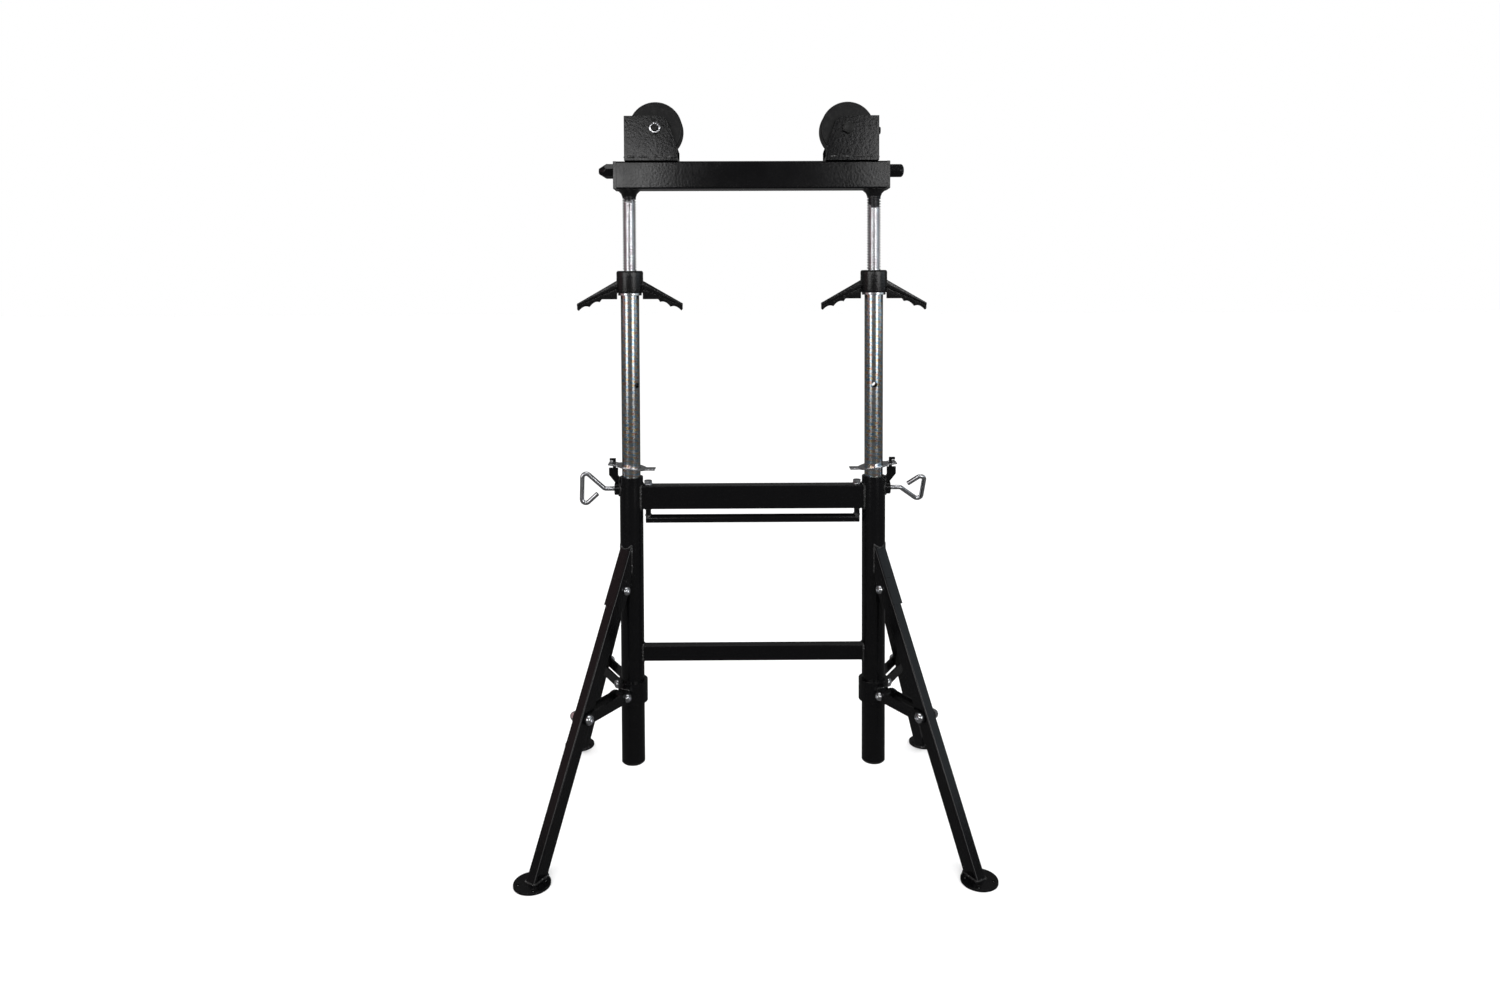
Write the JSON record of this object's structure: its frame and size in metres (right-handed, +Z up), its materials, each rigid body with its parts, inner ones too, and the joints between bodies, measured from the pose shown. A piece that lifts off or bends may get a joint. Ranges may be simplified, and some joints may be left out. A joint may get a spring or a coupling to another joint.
{
  "type": "folding roller pipe stand",
  "caption": "Adjustable pipe stand with telescoping posts, screw jacks with wing nuts, a beam carrying sliding rollers, and folding braced legs on round feet.",
  "frame": {"origin": "on the floor, midway between the two posts, at the centre of the four feet", "axes": "+X from the left post to the right post, +Y to the back, +Z up the posts"},
  "size_m": [0.8052, 0.5574, 1.329],
  "materials": {
    "black_enamel": "gloss enamel with a light orange peel",
    "black_casting": "gloss enamel on a cast surface",
    "black_plastic": "moulded",
    "wheel_black": "dull, moulded",
    "bright_zinc": "bright zinc plate",
    "passivated_zinc": "zinc plate with an iridescent passivation",
    "black_fastener": "black oxide",
    "black_steel": "gloss enamel over steel"
  },
  "bodies": {
    "frame": {"left_post": "black_enamel", "right_post": "black_enamel", "post_plugs": "black_plastic", "upper_crossbar": "black_enamel", "lower_crossbar": "black_enamel", "leg_stubs": "black_enamel", "hinge_bolts": "bright_zinc", "handle_rod": "black_enamel", "handle_bolts": "bright_zinc", "hook_plates": "black_enamel", "clamp_bosses": "black_enamel"},
    "left_collar": {"left_collar": "black_enamel", "left_collar_bolts": "bright_zinc"},
    "right_collar": {"right_collar": "black_enamel", "right_collar_bolts": "bright_zinc"},
    "left_front_leg": {"left_front_leg": "black_enamel", "left_front_sleeve": "black_enamel", "left_front_foot": "black_enamel"},
    "left_rear_leg": {"left_rear_leg": "black_enamel", "left_rear_sleeve": "black_enamel", "left_rear_foot": "black_enamel"},
    "right_front_leg": {"right_front_leg": "black_enamel", "right_front_sleeve": "black_enamel", "right_front_foot": "black_enamel"},
    "right_rear_leg": {"right_rear_leg": "black_enamel", "right_rear_sleeve": "black_enamel", "right_rear_foot": "black_enamel"},
    "left_front_brace": {"left_front_brace": "black_enamel", "left_front_brace_bolt": "bright_zinc"},
    "left_rear_brace": {"left_rear_brace": "black_enamel", "left_rear_brace_bolt": "bright_zinc"},
    "right_front_brace": {"right_front_brace": "black_enamel", "right_front_brace_bolt": "bright_zinc"},
    "right_rear_brace": {"right_rear_brace": "black_enamel", "right_rear_brace_bolt": "bright_zinc"},
    "left_mast": {"left_inner_tube": "passivated_zinc", "left_thrust_washer": "bright_zinc"},
    "left_wing_nut": {"left_wing_nut": "black_casting"},
    "right_mast": {"right_inner_tube": "passivated_zinc", "right_thrust_washer": "bright_zinc"},
    "right_wing_nut": {"right_wing_nut": "black_casting"},
    "beam": {"beam_tube": "black_enamel", "beam_end_plates": "black_enamel", "jack_screws": "bright_zinc", "spindle_bearing": "black_steel"},
    "spindle": {"roller_spindle": "black_steel", "spindle_nuts": "black_steel"},
    "left_carriage": {"left_roller_bracket": "black_enamel", "left_carriage_nut": "black_steel", "left_axle_bolt": "bright_zinc"},
    "left_wheel": {"left_wheel": "wheel_black"},
    "right_carriage": {"right_roller_bracket": "black_enamel", "right_carriage_nut": "black_steel", "right_axle_bolt": "black_fastener"},
    "right_wheel": {"right_wheel": "wheel_black"},
    "brake_screw": {"brake_screw": "black_fastener"},
    "left_lock_plate": {"left_lock_plate": "bright_zinc"},
    "left_clamp_screw": {"left_clamp_screw": "bright_zinc"},
    "right_lock_plate": {"right_lock_plate": "bright_zinc"},
    "right_clamp_screw": {"right_clamp_screw": "bright_zinc"}
  },
  "joints": [
    {"name": "left_front_leg_fold", "type": "hinge", "parent": "frame", "child": "left_front_leg", "pos_m": [-0.24685, -0.03161, 0.4256], "axis": [0.866, -0.5, 0], "range_deg": [0, 14.2]},
    {"name": "left_rear_leg_fold", "type": "hinge", "parent": "frame", "child": "left_rear_leg", "pos_m": [-0.24685, 0.03161, 0.4256], "axis": [-0.866, -0.5, 0], "range_deg": [0, 14.2]},
    {"name": "right_front_leg_fold", "type": "hinge", "parent": "frame", "child": "right_front_leg", "pos_m": [0.24685, -0.03161, 0.4256], "axis": [0.866, 0.5, 0], "range_deg": [0, 14.2]},
    {"name": "right_rear_leg_fold", "type": "hinge", "parent": "frame", "child": "right_rear_leg", "pos_m": [0.24685, 0.03161, 0.4256], "axis": [-0.866, 0.5, 0], "range_deg": [0, 14.2]},
    {"name": "left_collar_slide", "type": "slide", "parent": "frame", "child": "left_collar", "axis": [0, 0, -1], "range_m": [0, 0.1148]},
    {"name": "right_collar_slide", "type": "slide", "parent": "frame", "child": "right_collar", "axis": [0, 0, -1], "range_m": [0, 0.1148]},
    {"name": "left_front_brace_swing", "type": "hinge", "parent": "left_collar", "child": "left_front_brace", "pos_m": [-0.2476, -0.03291, 0.225], "axis": [-0.866, 0.5, 0], "range_deg": [0, 55.87]},
    {"name": "left_rear_brace_swing", "type": "hinge", "parent": "left_collar", "child": "left_rear_brace", "pos_m": [-0.2476, 0.03291, 0.225], "axis": [0.866, 0.5, 0], "range_deg": [0, 55.87]},
    {"name": "right_front_brace_swing", "type": "hinge", "parent": "right_collar", "child": "right_front_brace", "pos_m": [0.2476, -0.03291, 0.225], "axis": [-0.866, -0.5, 0], "range_deg": [0, 55.87]},
    {"name": "right_rear_brace_swing", "type": "hinge", "parent": "right_collar", "child": "right_rear_brace", "pos_m": [0.2476, 0.03291, 0.225], "axis": [0.866, -0.5, 0], "range_deg": [0, 55.87]},
    {"name": "left_mast_slide", "type": "slide", "parent": "frame", "child": "left_mast", "axis": [0, 0, 1], "range_m": [-0.285, 0.09]},
    {"name": "right_mast_slide", "type": "slide", "parent": "frame", "child": "right_mast", "axis": [0, 0, 1], "range_m": [-0.285, 0.09]},
    {"name": "left_wing_nut_turn", "type": "hinge", "parent": "left_mast", "child": "left_wing_nut", "pos_m": [-0.2286, 0, 0.9985], "axis": [0, 0, 1], "range_deg": [-8858.3, 5669.3]},
    {"name": "right_wing_nut_turn", "type": "hinge", "parent": "right_mast", "child": "right_wing_nut", "pos_m": [0.2286, 0, 0.9985], "axis": [0, 0, 1], "range_deg": [-8859.3, 5670.3]},
    {"name": "beam_lift", "type": "slide", "parent": "left_mast", "child": "beam", "axis": [0, 0, 1], "range_m": [-0.1255, 0.0805]},
    {"name": "spindle_turn", "type": "hinge", "parent": "beam", "child": "spindle", "pos_m": [0, 0, 1.205], "axis": [1, 0, 0], "range_deg": [-1300, 8590]},
    {"name": "left_carriage_slide", "type": "slide", "parent": "beam", "child": "left_carriage", "axis": [1, 0, 0], "range_m": [-0.014, 0.095]},
    {"name": "left_wheel_spin", "type": "hinge", "parent": "left_carriage", "child": "left_wheel", "pos_m": [-0.177, 0, 1.2795], "axis": [0, 1, 0], "continuous": true},
    {"name": "right_carriage_slide", "type": "slide", "parent": "beam", "child": "right_carriage", "axis": [-1, 0, 0], "range_m": [-0.0143, 0.0953]},
    {"name": "right_wheel_spin", "type": "hinge", "parent": "right_carriage", "child": "right_wheel", "pos_m": [0.177, 0, 1.2795], "axis": [0, 1, 0], "continuous": true},
    {"name": "brake_screw_turn", "type": "hinge", "parent": "right_carriage", "child": "brake_screw", "pos_m": [0.234, 0, 1.2795], "axis": [1, 0, 0], "range_deg": [-270, 720]},
    {"name": "left_lock_plate_tilt", "type": "hinge", "parent": "frame", "child": "left_lock_plate", "pos_m": [-0.2604, 0, 0.656], "axis": [0, -1, 0], "range_deg": [0, 9.2]},
    {"name": "left_clamp_screw_turn", "type": "hinge", "parent": "frame", "child": "left_clamp_screw", "pos_m": [-0.2656, 0, 0.6095], "axis": [-1, 0, 0], "range_deg": [0, 360]},
    {"name": "right_lock_plate_tilt", "type": "hinge", "parent": "frame", "child": "right_lock_plate", "pos_m": [0.2604, 0, 0.656], "axis": [0, 1, 0], "range_deg": [0, 9.2]},
    {"name": "right_clamp_screw_turn", "type": "hinge", "parent": "frame", "child": "right_clamp_screw", "pos_m": [0.2656, 0, 0.6095], "axis": [1, 0, 0], "range_deg": [0, 360]}
  ],
  "couplings": [
    {"joint": "left_rear_leg_fold", "follows": "left_front_leg_fold", "ratio": 1},
    {"joint": "right_rear_leg_fold", "follows": "right_front_leg_fold", "ratio": 1},
    {"joint": "left_collar_slide", "follows": "left_front_leg_fold", "m_per_rad": 0.4613},
    {"joint": "right_collar_slide", "follows": "right_front_leg_fold", "m_per_rad": 0.4613},
    {"joint": "left_front_brace_swing", "follows": "left_front_leg_fold", "ratio": 3.9271},
    {"joint": "left_rear_brace_swing", "follows": "left_front_leg_fold", "ratio": 3.9271},
    {"joint": "right_front_brace_swing", "follows": "right_front_leg_fold", "ratio": 3.9271},
    {"joint": "right_rear_brace_swing", "follows": "right_front_leg_fold", "ratio": 3.9271},
    {"joint": "right_mast_slide", "follows": "left_mast_slide", "ratio": 1},
    {"joint": "right_wing_nut_turn", "follows": "left_wing_nut_turn", "ratio": 1},
    {"joint": "beam_lift", "follows": "left_wing_nut_turn", "m_per_rad": 0.00080851},
    {"joint": "right_carriage_slide", "follows": "left_carriage_slide", "ratio": 1},
    {"joint": "spindle_turn", "follows": "left_carriage_slide", "rad_per_m": 1570.8}
  ]
}
